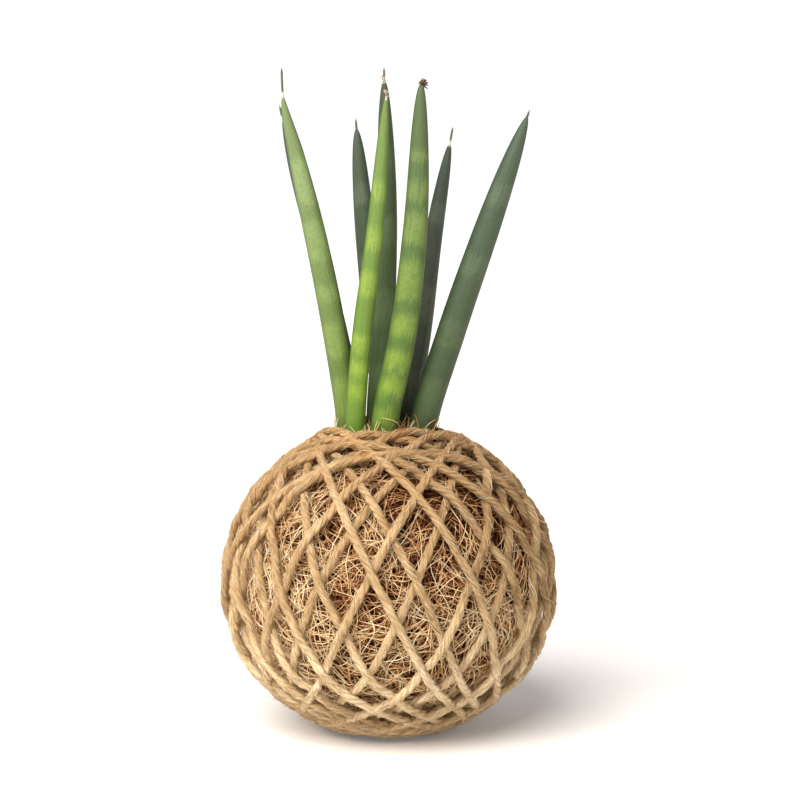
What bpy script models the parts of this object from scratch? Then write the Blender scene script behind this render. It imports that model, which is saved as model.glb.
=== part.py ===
# Kokedama moss ball plant: spear-leaved snake plant growing from a ball of soil wrapped in
# coir fibre and wound with jute twine. Metres, +Z up, -Y is the front, origin at the centre
# of the small flat spot that the ball rests on.
import math

import bmesh
import bpy
import numpy as np
from mathutils import Vector

for old in list(bpy.data.objects):
    bpy.data.objects.remove(old, do_unlink=True)

# ---------------------------------------------------------------- driving dimensions
GAP = 0.0003                # clearance kept between neighbouring pieces

COIR_RADIUS = 0.0535        # half the width of the coir cover
COIR_HALF_HEIGHT = 0.0507   # its half height, before its ends are shaped
CENTRE_HEIGHT = 0.0525      # ball centre above the resting surface
TOP_GATHER = 0.0031         # how far the coir is gathered up round the leaves
GATHER_FROM = (0.888, 0.940)    # heights, as shares of the half height, where that happens
BOTTOM_PRESS = 0.0017       # how far the ball's weight presses the bottom up
PRESS_FROM = (0.48, 0.83)   # depths, as shares of the half height, where that happens
COIR_THICKNESS = 0.0080
COIR_STEPS = 36             # flats round the coir cover and the soil
OPENING_RADIUS = 0.0190     # hole in the top that the leaves grow through
FOOT_RADIUS = 0.0170        # flat spot under the ball
FOOT_EDGE = 0.0008

SOIL_TOP = 0.0970
SOIL_FLOOR_RADIUS = 0.0080  # flat underside of the soil, inside the cover

RHIZOME_SIZE = (0.0170, 0.0130, 0.0060)     # half sizes of the rootstock
RHIZOME_CENTRE = (-0.0015, 0.0005, 0.0820)
ROOT_RADIUS = 0.0014
ROOT_DROP = 0.0220
ROOT_HEADINGS = (20.0, 110.0, 200.0, 290.0)

TWINE_RADIUS = 0.0015
TWINE_WIDTH = 0.0040        # width over which two crossing strands rest on each other
TWINE_SEAT = 0.0006         # clearance under the first layer
TURN_SAMPLES = 120          # points per turn while the layers are worked out
TURN_POINTS = 30            # points per turn on the finished curve
TURN_BLEND = 0.18           # share of a turn over which it swings to the next heading
BRIDGE_LENGTH = 0.0150      # reach of the slope on each side of a crossing
CROSSING_RISE = 0.0030      # how far the upper strand rises at a crossing
PILE_RISE = 0.0021          # the same in the squashed piles round the top and bottom
PILE_FROM = (0.72, 0.92)    # heights, as shares of the half height, where the piles start
HIGHEST_RISE = 0.0028
HIGHEST_PILE = 0.0030

# Heading of each turn's rising side and its tilt, in degrees, in winding order. Twice round
# the ball: the second eleven turns lie between the first and over them.
TURNS = (
    (242, 66.7), (275, 65.8), (311, 64.5), (344, 61.0), (374, 66.8), (401, 68.4),
    (431, 65.0), (464, 65.8), (500, 66.0), (535, 69.2), (566, 69.7), (589, 67.4),
    (618, 65.2), (655, 63.6), (690, 65.3), (722, 63.8), (748, 67.0), (774, 64.9),
    (811, 64.2), (843, 68.4), (878, 65.1), (910, 61.2),
)

# Each leaf: half thickness, fullness and sharpness of its upper end, length of its dry spine,
# and points up its middle.
LEAVES = {
    "leaf_back_left": (0.0034, 4.0, 0.6, 0.0050, (
        (-0.0100, 0.0080, 0.0850), (-0.0118, 0.0088, 0.1070), (-0.0180, 0.0100, 0.1400),
        (-0.0250, 0.0110, 0.1680), (-0.0345, 0.0120, 0.2024), (-0.0386, 0.0125, 0.2200))),
    "leaf_left": (0.0043, 4.2, 0.65, 0.0093, (
        (-0.0130, 0.0004, 0.0850), (-0.0141, -0.0002, 0.1070), (-0.0190, -0.0030, 0.1415),
        (-0.0277, -0.0066, 0.1850), (-0.0317, -0.0074, 0.2022), (-0.0362, -0.0082, 0.2222),
        (-0.0366, -0.0085, 0.2320))),
    "leaf_back_middle": (0.0040, 5.0, 0.5, 0.0038, (
        (-0.0010, 0.0112, 0.0850), (-0.0016, 0.0120, 0.1070), (-0.0050, 0.0135, 0.1400),
        (-0.0084, 0.0147, 0.1750), (-0.0118, 0.0160, 0.2155))),
    "leaf_front_left": (0.0035, 3.2, 0.5, 0.0015, (
        (-0.0114, -0.0078, 0.0850), (-0.0116, -0.0088, 0.1070), (-0.0095, -0.0092, 0.1380),
        (-0.0048, -0.0097, 0.1750), (-0.0006, -0.0100, 0.2235))),
    "leaf_middle": (0.0040, 4.5, 0.5, 0.0045, (
        (-0.0042, 0.0022, 0.0850), (-0.0042, 0.0028, 0.1070), (-0.0021, 0.0043, 0.1400),
        (-0.0008, 0.0062, 0.1750), (-0.0017, 0.0085, 0.2330))),
    "leaf_front_right": (0.0049, 3.0, 0.45, 0.0006, (
        (-0.0028, -0.0072, 0.0850), (-0.0017, -0.0082, 0.1070), (0.0048, -0.0085, 0.1400),
        (0.0090, -0.0090, 0.1750), (0.0112, -0.0100, 0.2270))),
    "leaf_back_right": (0.0038, 3.6, 0.5, 0.0060, (
        (0.0050, 0.0076, 0.0850), (0.0064, 0.0084, 0.1070), (0.0114, 0.0100, 0.1400),
        (0.0160, 0.0120, 0.1750), (0.0226, 0.0140, 0.2125))),
    "leaf_right": (0.0051, 4.6, 0.6, 0.0024, (
        (0.0088, -0.0014, 0.0850), (0.0117, -0.0012, 0.1070), (0.0216, -0.0008, 0.1400),
        (0.0336, -0.0004, 0.1750), (0.0489, 0.0000, 0.2180))),
}
LEAF_POINTS = 14
LEAF_FOOT = 0.0850          # height of the cut lower end of every leaf
SPINE_RADIUS = 0.0004
NECK_SHARE = 0.13           # how much a leaf narrows at its base

# ---------------------------------------------------------------- collections and materials
parts = bpy.data.collections.new("kokedama_moss_ball_plant")
cutters = bpy.data.collections.new("cutters")
bpy.context.scene.collection.children.link(parts)
bpy.context.scene.collection.children.link(cutters)


def make_material(name, colour, roughness):
    material = bpy.data.materials.new(name)
    material.use_nodes = True
    shader = material.node_tree.nodes["Principled BSDF"]
    shader.inputs["Base Color"].default_value = (*colour, 1.0)
    shader.inputs["Roughness"].default_value = roughness
    shader.inputs["Metallic"].default_value = 0.0
    return material


soil_material = make_material("soil", (0.045, 0.028, 0.018), 0.95)
rhizome_material = make_material("rhizome", (0.42, 0.30, 0.16), 0.70)
coir_material = make_material("coir", (0.28, 0.13, 0.06), 0.95)
twine_material = make_material("jute", (0.62, 0.45, 0.24), 0.90)
leaf_materials = {
    "leaf_back_left": make_material("leaf_grey_green", (0.10, 0.14, 0.09), 0.55),
    "leaf_left": make_material("leaf_pale_green", (0.27, 0.38, 0.13), 0.50),
    "leaf_back_middle": make_material("leaf_shade_green", (0.08, 0.11, 0.06), 0.55),
    "leaf_front_left": make_material("leaf_lime_green", (0.25, 0.40, 0.07), 0.50),
    "leaf_middle": make_material("leaf_deep_green", (0.07, 0.13, 0.05), 0.55),
    "leaf_front_right": make_material("leaf_banded_green", (0.22, 0.36, 0.07), 0.50),
    "leaf_back_right": make_material("leaf_dark_green", (0.05, 0.07, 0.05), 0.55),
    "leaf_right": make_material("leaf_blue_green", (0.08, 0.15, 0.07), 0.50),
}


def link_part(name, data, material, collection=parts):
    thing = bpy.data.objects.new(name, data)
    if material:
        data.materials.append(material)
    collection.objects.link(thing)
    if collection is cutters:
        thing.hide_render = True
        thing.display_type = 'WIRE'
    return thing


def curve_to_mesh(curve_object):
    # A capped tube as a closed mesh object, with its caps welded on.
    depsgraph = bpy.context.evaluated_depsgraph_get()
    mesh = bpy.data.meshes.new_from_object(curve_object.evaluated_get(depsgraph))
    weld = bmesh.new()
    weld.from_mesh(mesh)
    bmesh.ops.remove_doubles(weld, verts=weld.verts, dist=1e-6)
    weld.to_mesh(mesh)
    weld.free()
    name = curve_object.name
    home = curve_object.users_collection[0]
    matrix = curve_object.matrix_world.copy()
    bpy.data.objects.remove(curve_object, do_unlink=True)
    thing = link_part(name, mesh, None, home)
    thing.matrix_world = matrix
    return thing


def tube(name, points, radii, material, resolution, collection=parts):
    # A round tube along the points, with a radius at each.
    curve = bpy.data.curves.new(name, 'CURVE')
    curve.dimensions = '3D'
    curve.bevel_depth = 1.0
    curve.bevel_resolution = resolution
    curve.use_fill_caps = True
    spline = curve.splines.new('POLY')
    spline.points.add(len(points) - 1)
    for spot, place, radius in zip(spline.points, points, radii):
        spot.co = (*place, 1.0)
        spot.radius = radius
    return link_part(name, curve, material, collection)


def boolean(target, cutter, operation):
    cut = target.modifiers.new(f"{operation.lower()}_{cutter.name}", 'BOOLEAN')
    cut.operation = operation
    cut.object = cutter
    cut.solver = 'EXACT'


def smooth_step(share):
    share = np.clip(share, 0.0, 1.0)
    return share * share * (3.0 - 2.0 * share)


# ---------------------------------------------------------------- shape of the ball
def ramp_up(values, ends):
    # 0 below the first end, 1 above the second, smooth between them.
    return smooth_step((values - ends[0]) / (ends[1] - ends[0]))


def ball_places(directions, lift):
    # Points above the coir in the given unit directions: an oval ball with shaped ends.
    upward = directions[:, 2]
    lift = np.broadcast_to(lift, len(directions))
    places = directions * (COIR_RADIUS + lift)[:, None]
    shaped = TOP_GATHER * ramp_up(upward, GATHER_FROM) + BOTTOM_PRESS * ramp_up(-upward, PRESS_FROM)
    places[:, 2] = CENTRE_HEIGHT + upward * (COIR_HALF_HEIGHT + lift) + shaped
    return places


def ball_profile(first_radius, last_radius, sink, count):
    # Radius and height down the ball's side, from near the top opening to near the foot.
    reach = COIR_RADIUS - sink
    start = math.asin(first_radius / reach)
    end = math.pi - math.asin(last_radius / reach)
    angles = np.linspace(start, end, count)
    directions = np.stack([np.sin(angles), np.zeros(count), np.cos(angles)], axis=1)
    places = ball_places(directions, -sink)
    return [(float(x), float(z)) for x, y, z in places]


def turned(name, profile, material):
    # A closed solid of revolution from a profile whose two ends lie on the axis.
    mesh = bpy.data.meshes.new(name)
    outline = bmesh.new()
    corners = [outline.verts.new((radius, 0.0, height)) for radius, height in profile]
    for first, second in zip(corners, corners[1:]):
        outline.edges.new((first, second))
    outline.to_mesh(mesh)
    outline.free()
    thing = link_part(name, mesh, material)
    screw = thing.modifiers.new("turn", 'SCREW')
    screw.steps = COIR_STEPS
    screw.render_steps = COIR_STEPS
    screw.use_merge_vertices = True
    screw.merge_threshold = 0.00001
    screw.use_smooth_shade = True
    return thing


# Coir cover: a thick mat of coconut fibre round the soil, open at the top for the leaves.
inner_side = ball_profile(OPENING_RADIUS, SOIL_FLOOR_RADIUS, COIR_THICKNESS, 16)
outer_side = ball_profile(OPENING_RADIUS, FOOT_RADIUS, 0.0, 34)
coir_profile = [(0.0, inner_side[-1][1])]
coir_profile += inner_side[::-1]
coir_profile += outer_side
coir_profile += [(FOOT_RADIUS, FOOT_EDGE), (FOOT_RADIUS - FOOT_EDGE, 0.0), (0.0, 0.0)]
coir_cover = turned("coir_cover", coir_profile, coir_material)

# Soil core: the root ball, filling the cover up to a neck in the opening.
neck = OPENING_RADIUS - GAP
soil_side = ball_profile(neck, SOIL_FLOOR_RADIUS, COIR_THICKNESS + GAP, 16)
soil_profile = [(0.0, SOIL_TOP + 0.0006), (neck - 0.0020, SOIL_TOP), (neck, SOIL_TOP - 0.0010)]
soil_profile += soil_side
soil_profile += [(0.0, soil_side[-1][1])]
soil_core = turned("soil_core", soil_profile, soil_material)


# ---------------------------------------------------------------- leaves
def smooth_path(points, count):
    # Evenly spaced points on a smooth curve through the given ones.
    anchors = np.array(points)
    chord = np.linalg.norm(np.diff(anchors, axis=0), axis=1)
    knots = np.concatenate([[0.0], np.cumsum(chord)])
    slopes = np.gradient(anchors, knots, axis=0)
    places = []
    for along in np.linspace(0.0, knots[-1], count):
        part = min(int(np.searchsorted(knots, along, side='right')) - 1, len(chord) - 1)
        span = chord[part]
        share = (along - knots[part]) / span
        rest = 1.0 - share
        place = anchors[part] * rest * rest * (1.0 + 2.0 * share)
        place = place + anchors[part + 1] * share * share * (3.0 - 2.0 * share)
        place = place + slopes[part] * span * share * rest * rest
        place = place - slopes[part + 1] * span * share * share * rest
        places.append(place)
    return np.array(places)


def leaf_radii(path, thickness, fullness, sharpness, spine):
    # A round spear: slightly narrow at its base, tapering to a thin dry spine.
    steps = np.linalg.norm(np.diff(path, axis=0), axis=1)
    along = np.concatenate([[0.0], np.cumsum(steps)])
    share = np.clip(along / (along[-1] - spine), 0.0, 1.0)
    body = (1.0 - share ** fullness) ** sharpness
    neck_in = 1.0 - NECK_SHARE * np.clip(1.0 - share / 0.3, 0.0, 1.0) ** 2
    return np.maximum(thickness * body * neck_in, SPINE_RADIUS)


fat_leaves = []
for leaf_name, (thickness, fullness, sharpness, spine, points) in LEAVES.items():
    path = smooth_path(points, LEAF_POINTS)
    radii = leaf_radii(path, thickness, fullness, sharpness, spine)
    tube(leaf_name, path, radii, leaf_materials[leaf_name], 3)
    low = path[:4].copy()
    low[0, 2] = LEAF_FOOT - GAP
    socket = tube(f"socket_{leaf_name}", low, radii[:4] + GAP * 1.3, None, 3, cutters)
    fat_leaves.append(curve_to_mesh(socket))


# ---------------------------------------------------------------- rhizome and roots
def rootstock(name, margin, collection):
    # An oval rootstock with a few thick roots turning down into the soil.
    mesh = bpy.data.meshes.new(name)
    lump = bmesh.new()
    bmesh.ops.create_uvsphere(lump, u_segments=20, v_segments=10, radius=1.0)
    size = Vector(RHIZOME_SIZE) + Vector((margin, margin, margin))
    bmesh.ops.scale(lump, vec=size, verts=lump.verts)
    bmesh.ops.translate(lump, vec=RHIZOME_CENTRE, verts=lump.verts)
    lump.to_mesh(mesh)
    lump.free()
    body = link_part(name, mesh, rhizome_material if collection is parts else None, collection)
    for number, heading in enumerate(ROOT_HEADINGS):
        turn = math.radians(heading)
        out = Vector((math.cos(turn), math.sin(turn), 0.0))
        start = Vector(RHIZOME_CENTRE)
        reach = 0.6 * RHIZOME_SIZE[0]
        points = [start + out * reach * 0.3, start + out * reach - Vector((0, 0, 0.003))]
        points.append(start + out * reach * 1.35 - Vector((0, 0, ROOT_DROP * 0.5)))
        points.append(start + out * reach * 1.6 - Vector((0, 0, ROOT_DROP + margin)))
        taper = [ROOT_RADIUS * share + margin for share in (1.0, 1.0, 0.85, 0.6)]
        root = tube(f"root_{name}_{number}", points, taper, None, 1, cutters)
        boolean(body, curve_to_mesh(root), 'UNION')
    return body


rhizome = rootstock("rhizome", 0.0, parts)
rhizome_space = rootstock("rhizome_space", GAP, cutters)
for socket in fat_leaves:
    boolean(rhizome, socket, 'DIFFERENCE')
boolean(soil_core, rhizome_space, 'DIFFERENCE')
for socket in fat_leaves:
    boolean(soil_core, socket, 'DIFFERENCE')


# ---------------------------------------------------------------- jute twine
def turn_directions(samples):
    # Unit directions along the winding. Each turn is a tilted great circle that starts at the
    # bottom, and near the bottom it swings over to the heading of the next turn.
    turns = np.array(TURNS, dtype=float)
    along = np.arange(len(turns) * samples + 1) / samples
    number = np.minimum(along.astype(int), len(turns) - 1)
    share = along - number
    neighbour = np.clip(number + np.where(share > 0.5, 1, -1), 0, len(turns) - 1)
    away = 0.5 - 0.5 * smooth_step(np.minimum(share, 1.0 - share) / TURN_BLEND)
    mixed = turns[number] * (1.0 - away)[:, None] + turns[neighbour] * away[:, None]
    heading, tilt = np.radians(mixed).T
    angle = 2.0 * math.pi * share - 0.5 * math.pi
    level, back, up = np.cos(angle), np.sin(angle) * np.cos(tilt), np.sin(angle) * np.sin(tilt)
    east = np.cos(heading) * level - np.sin(heading) * back
    north = np.sin(heading) * level + np.cos(heading) * back
    return np.stack([east, north, up], axis=1)


def lay_turns(directions, samples):
    # Height of every point over the first layer: each turn is laid over the ones before it,
    # and slopes down to the ball on both sides of a crossing.
    places = ball_places(directions, TWINE_RADIUS)
    pile = ramp_up(np.abs(directions[:, 2]), PILE_FROM)
    rise = CROSSING_RISE + (PILE_RISE - CROSSING_RISE) * pile
    highest = HIGHEST_RISE + (HIGHEST_PILE - HIGHEST_RISE) * pile
    heights = np.zeros(len(places))
    spacing = 2.0 * math.pi * COIR_RADIUS / samples
    reach = int(BRIDGE_LENGTH / spacing)
    offsets = np.arange(-reach, reach + 1)
    slope = 0.5 + 0.5 * np.cos(math.pi * offsets / (reach + 1))
    for number in range(1, len(TURNS)):
        first = number * samples
        last = min(first + samples, len(places))
        below = first - samples // 6
        apart = np.linalg.norm(places[first:last, None] - places[None, :below], axis=2)
        contact = np.sqrt(np.clip(1.0 - (apart / TWINE_WIDTH) ** 2, 0.0, None))
        needed = np.where(contact > 0.0, heights[None, :below] + rise[first:last, None] * contact, 0.0)
        needed = np.minimum(needed.max(axis=1), highest[first:last])
        for offset, weight in zip(offsets, slope):
            target = np.arange(first, last) + offset
            inside = target < len(places)
            np.maximum.at(heights, target[inside], needed[inside] * weight)
    return heights


directions = turn_directions(TURN_SAMPLES)
heights = lay_turns(directions, TURN_SAMPLES)
route = ball_places(directions, (TWINE_RADIUS + TWINE_SEAT) + heights)
lowest = TWINE_RADIUS + GAP
route[:, 2] = np.maximum(route[:, 2], lowest)
step = TURN_SAMPLES // TURN_POINTS
curve_points = route[::step]
twine_radii = [TWINE_RADIUS] * len(curve_points)
tube("jute_twine", curve_points, twine_radii, twine_material, 1)
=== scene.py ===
# Kokedama moss ball plant: a cylindrical snake plant growing from a soil ball that is wrapped
# in coir fibre and wound with jute twine. Metres, +Z up, -Y is the front. The sections go from
# the inside outwards: soil, rootstock, coir, leaves, crown, torn leaf ends, twine, studio.
import math

import bpy
import numpy as np
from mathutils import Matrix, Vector, noise


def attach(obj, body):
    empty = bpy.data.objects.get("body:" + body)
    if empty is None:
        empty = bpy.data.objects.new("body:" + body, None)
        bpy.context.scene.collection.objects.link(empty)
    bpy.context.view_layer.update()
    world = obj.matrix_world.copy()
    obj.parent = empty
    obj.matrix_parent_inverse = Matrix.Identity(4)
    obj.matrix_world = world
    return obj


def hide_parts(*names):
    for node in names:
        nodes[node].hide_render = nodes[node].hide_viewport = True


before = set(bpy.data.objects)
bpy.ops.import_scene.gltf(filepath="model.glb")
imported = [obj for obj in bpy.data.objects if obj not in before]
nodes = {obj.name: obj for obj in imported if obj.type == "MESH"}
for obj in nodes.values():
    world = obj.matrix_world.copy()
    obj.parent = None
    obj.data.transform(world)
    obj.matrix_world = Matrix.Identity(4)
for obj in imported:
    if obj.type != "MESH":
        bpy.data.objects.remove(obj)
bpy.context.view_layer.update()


# ---------------------------------------------------------------- soil core
# The root ball of damp potting soil. It fills the coir cover and shows only as dark crumbs
# between the leaf bases. Packed by hand round the rootstock.
SOIL_DARK = (0.020, 0.011, 0.006)
SOIL_LIGHT = (0.110, 0.062, 0.032)
CRUMB_SCALE = 420.0


def add_node(tree, kind, feeds=(), **settings):
    # One node: its settings, then a plain value or a link for each input in feeds.
    fresh = tree.nodes.new(kind)
    for name, value in settings.items():
        setattr(fresh, name, value)
    for key, feed in dict(feeds).items():
        if isinstance(feed, bpy.types.Node):
            feed = next(socket for socket in feed.outputs if socket.enabled)
        if isinstance(feed, bpy.types.NodeSocket):
            tree.links.new(feed, fresh.inputs[key])
        else:
            fresh.inputs[key].default_value = feed
    return fresh


def calc(tree, operation, *feeds):
    return add_node(tree, "ShaderNodeMath", enumerate(feeds), operation=operation)


def plus(tree, first, *others):
    for other in others:
        first = calc(tree, 'ADD', first, other)
    return first


def times(tree, first, *others):
    for other in others:
        first = calc(tree, 'MULTIPLY', first, other)
    return first


def calc_vector(tree, operation, *feeds):
    return add_node(tree, "ShaderNodeVectorMath", enumerate(feeds), operation=operation)


def scale_vector(tree, vector, factor):
    return add_node(tree, "ShaderNodeVectorMath", {0: vector, 3: factor}, operation='SCALE')


def vector_of(tree, x=0.0, y=0.0, z=0.0):
    return add_node(tree, "ShaderNodeCombineXYZ", enumerate((x, y, z)))


def part_of(tree, vector, axis):
    return add_node(tree, "ShaderNodeSeparateXYZ", {0: vector}).outputs[axis]


def start_material(name, roughness, specular=0.5):
    material = bpy.data.materials.new(name)
    material.use_nodes = True
    shader = material.node_tree.nodes["Principled BSDF"]
    shader.inputs["Roughness"].default_value = roughness
    shader.inputs["Specular IOR Level"].default_value = specular
    return material, material.node_tree, shader


def object_place(tree):
    return add_node(tree, "ShaderNodeTexCoord").outputs["Object"]


def cloud(tree, vector, scale, detail=2.0, roughness=0.5, distortion=0.0):
    feeds = {"Vector": vector, "Scale": scale, "Detail": detail, "Roughness": roughness}
    return add_node(tree, "ShaderNodeTexNoise", {**feeds, "Distortion": distortion})


def colours(tree, factor, *stops):
    # A colour ramp through (position, colour) stops.
    ramp = add_node(tree, "ShaderNodeValToRGB", {"Fac": factor})
    elements = ramp.color_ramp.elements
    while len(elements) < len(stops):
        elements.new(0.5)
    for element, (position, colour) in zip(elements, stops):
        element.position = position
        element.color = (*colour, 1.0)
    return ramp.outputs["Color"]


def mix_colour(tree, factor, first, second, blend='MIX'):
    feeds = {0: factor, 6: first, 7: second}
    for key in (6, 7):
        if isinstance(feeds[key], tuple):
            feeds[key] = (*feeds[key], 1.0)
    return add_node(tree, "ShaderNodeMix", feeds, data_type='RGBA', blend_type=blend)


def span(tree, value, low, high, to_low=0.0, to_high=1.0, **settings):
    feeds = enumerate((value, low, high, to_low, to_high))
    return add_node(tree, "ShaderNodeMapRange", feeds, **settings)


def spread(tree, pattern, to_low, to_high):
    # Stretches the range that a cloud mostly covers over the given one.
    return span(tree, pattern, 0.3, 0.7, to_low, to_high)


def finish_material(tree, shader, colour, height, depth, strength=1.0, rough=None):
    # Joins the colour and the bump, and a roughness pattern if there is one, to the shader.
    feeds = {"Height": height, "Distance": depth, "Strength": strength}
    bump = add_node(tree, "ShaderNodeBump", feeds)
    tree.links.new(bump.outputs["Normal"], shader.inputs["Normal"])
    if isinstance(colour, bpy.types.Node):
        colour = next(socket for socket in colour.outputs if socket.enabled)
    tree.links.new(colour, shader.inputs["Base Color"])
    if rough is not None:
        tree.links.new(rough.outputs[0], shader.inputs["Roughness"])


def coat(piece, material):
    piece.data.materials.clear()
    piece.data.materials.append(material)


soil_surface, tree, shader = start_material("potting_soil", 0.95, 0.2)
place = object_place(tree)
crumbs = add_node(tree, "ShaderNodeTexVoronoi", {"Vector": place, "Scale": CRUMB_SCALE})
grit = cloud(tree, place, 900.0, 4.0, 0.7)
blend = plus(tree, crumbs.outputs["Distance"], grit)
soil_colour = colours(tree, blend, (0.35, SOIL_DARK), (0.75, SOIL_LIGHT), (1.0, SOIL_DARK))
finish_material(tree, shader, soil_colour, blend, 0.0015, rough=spread(tree, grit, 0.8, 1.0))
coat(nodes["soil_core"], soil_surface)


# ---------------------------------------------------------------- rhizome
# The woody rootstock and its thick roots, buried in the soil. Corky tan skin with fine rings
# round it. It came with the plant.
RHIZOME_PALE = (0.52, 0.38, 0.20)
RHIZOME_DARK = (0.24, 0.14, 0.06)

rhizome_surface, tree, shader = start_material("corky_rhizome", 0.7, 0.3)
place = object_place(tree)
rings = add_node(tree, "ShaderNodeTexWave", {"Vector": place, "Scale": 180.0, "Distortion": 3.0})
skin = cloud(tree, place, 500.0, 4.0, 0.6)
blend = times(tree, rings.outputs["Fac"], skin)
rhizome_colour = colours(tree, blend, (0.1, RHIZOME_DARK), (0.6, RHIZOME_PALE))
finish_material(tree, shader, rhizome_colour, blend, 0.0006, rough=spread(tree, skin, 0.6, 0.9))
coat(nodes["rhizome"], rhizome_surface)


# ---------------------------------------------------------------- coir mat
# The thick mat of coconut fibre pressed round the soil: the matted under layer that shows deep
# between the loose fibres, dark partly in its own colour and partly as painted shade. Open at
# the top, flat where the ball rests.
COIR_RADIUS = 0.0535
COIR_HALF_HEIGHT = 0.0507
CENTRE_HEIGHT = 0.0525
TOP_GATHER = 0.0031         # how far the coir is gathered up round the leaves
GATHER_FROM = (0.888, 0.940)
BOTTOM_PRESS = 0.0017
PRESS_FROM = (0.48, 0.83)
COIR_THICKNESS = 0.0080
OPENING_RADIUS = 0.0190
FOOT_RADIUS = 0.0170
SOIL_FLOOR_RADIUS = 0.0080
MAT_STEPS = 160             # columns round the mat
MAT_ROWS = 84               # rows down its outer side
MAT_SINK = 0.0019           # how far the mat lies below the outermost fibres
MAT_FOOT = ((0.0006, 0.0006), (0.0014, 0.0))    # the rounded edge of the foot: inset, height
LUMP_HEIGHT = 0.0011
LUMP_SCALE = 95.0
COIR_DEEP = (0.022, 0.006, 0.002)
COIR_BROWN = (0.080, 0.026, 0.008)
COIR_RUST = (0.200, 0.075, 0.024)


def smooth_step(share):
    share = np.clip(share, 0.0, 1.0)
    return share * share * (3.0 - 2.0 * share)


def ramp_up(values, ends):
    # 0 below the first end, 1 above the second, smooth between them.
    return smooth_step((values - ends[0]) / (ends[1] - ends[0]))


def ball_places(directions, lift):
    # Points above the coir in the given unit directions: an oval ball with shaped ends.
    upward = directions[:, 2]
    lift = np.broadcast_to(lift, len(directions))
    places = directions * (COIR_RADIUS + lift)[:, None]
    shaped = TOP_GATHER * ramp_up(upward, GATHER_FROM) + BOTTOM_PRESS * ramp_up(-upward, PRESS_FROM)
    places[:, 2] = CENTRE_HEIGHT + upward * (COIR_HALF_HEIGHT + lift) + shaped
    return places


def side_directions(first_radius, last_radius, sink, count):
    # Unit directions down one side of the ball, from near the opening to near the foot.
    reach = COIR_RADIUS - sink
    start = math.asin(first_radius / reach)
    end = math.pi - math.asin(last_radius / reach)
    angles = np.linspace(start, end, count)
    return np.stack([np.sin(angles), np.zeros(count), np.cos(angles)], axis=1)


def mesh_piece(name, corners, faces, material):
    # A piece from plain lists, smooth shaded, linked to the scene.
    mesh = bpy.data.meshes.new(name)
    mesh.from_pydata([tuple(corner) for corner in corners], [], faces)
    mesh.polygons.foreach_set("use_smooth", np.ones(len(mesh.polygons), dtype=bool))
    mesh.materials.append(material)
    mesh.update()
    piece = bpy.data.objects.new(name, mesh)
    bpy.context.scene.collection.objects.link(piece)
    return piece


def turned_mat():
    # Rows of corners: the lumpy outer side downwards, the foot, then the inner side upwards.
    def ring_of(radius, height):
        level = np.full(MAT_STEPS, height)
        return np.stack([radius * np.cos(turns), radius * np.sin(turns), level], axis=1)

    outer = side_directions(OPENING_RADIUS, FOOT_RADIUS, 0.0, MAT_ROWS)
    inner = side_directions(OPENING_RADIUS, SOIL_FLOOR_RADIUS, COIR_THICKNESS, 12)[::-1]
    turns = np.linspace(0.0, 2.0 * math.pi, MAT_STEPS, endpoint=False)
    rows = []
    for number, direction in enumerate(outer):
        round_it = ring_of(direction[0], direction[2])
        base = ball_places(round_it, -MAT_SINK)
        edge = min(number, MAT_ROWS - 1 - number) / 6.0
        lumps = [noise.fractal(Vector(spot) * LUMP_SCALE, 0.9, 2.2, 4) for spot in base]
        rise = LUMP_HEIGHT * min(edge, 1.0) * np.array(lumps)
        rows.append(ball_places(round_it, -MAT_SINK + rise))
    for inset, height in MAT_FOOT:
        rows.append(ring_of(FOOT_RADIUS - inset, height))
    foot_row = len(rows) - 1
    for direction in inner:
        rows.append(ball_places(ring_of(direction[0], direction[2]), -COIR_THICKNESS))
    faces = []
    for row in range(len(rows)):
        high, low = row * MAT_STEPS, (row + 1) % len(rows) * MAT_STEPS
        if row == foot_row:
            caps = [tuple(range(high, low))[::-1], tuple(range(low, low + MAT_STEPS))]
            continue
        for step in range(MAT_STEPS):
            after = (step + 1) % MAT_STEPS
            faces.append((high + step, low + step, low + after, high + after))
    return np.concatenate(rows), faces + caps


mat_surface, tree, shader = start_material("matted_coir", 0.9, 0.2)
place = object_place(tree)
swirl = cloud(tree, place, 70.0, 2.0)
bent = calc_vector(tree, 'ADD', place, scale_vector(tree, swirl.outputs["Color"], 0.02))
strands = add_node(tree, "ShaderNodeTexWave", {"Vector": bent, "Scale": 420.0, "Distortion": 9.0,
                                               "Detail": 3.0, "Detail Scale": 2.0})
clots = cloud(tree, place, 260.0, 4.0, 0.65)
blend = times(tree, strands.outputs["Fac"], clots)
# Very dark colours: partly the coir's own, partly painted shade for the depth under the fibres.
mat_colour = colours(tree, blend, (0.05, COIR_DEEP), (0.35, COIR_BROWN), (0.7, COIR_RUST))
finish_material(tree, shader, mat_colour, blend, 0.0012, rough=spread(tree, clots, 0.8, 1.0))
mat_corners, mat_faces = turned_mat()
coir_mat = mesh_piece("coir_mat", mat_corners, mat_faces, mat_surface)
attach(coir_mat, "root")
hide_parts("coir_cover")
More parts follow.
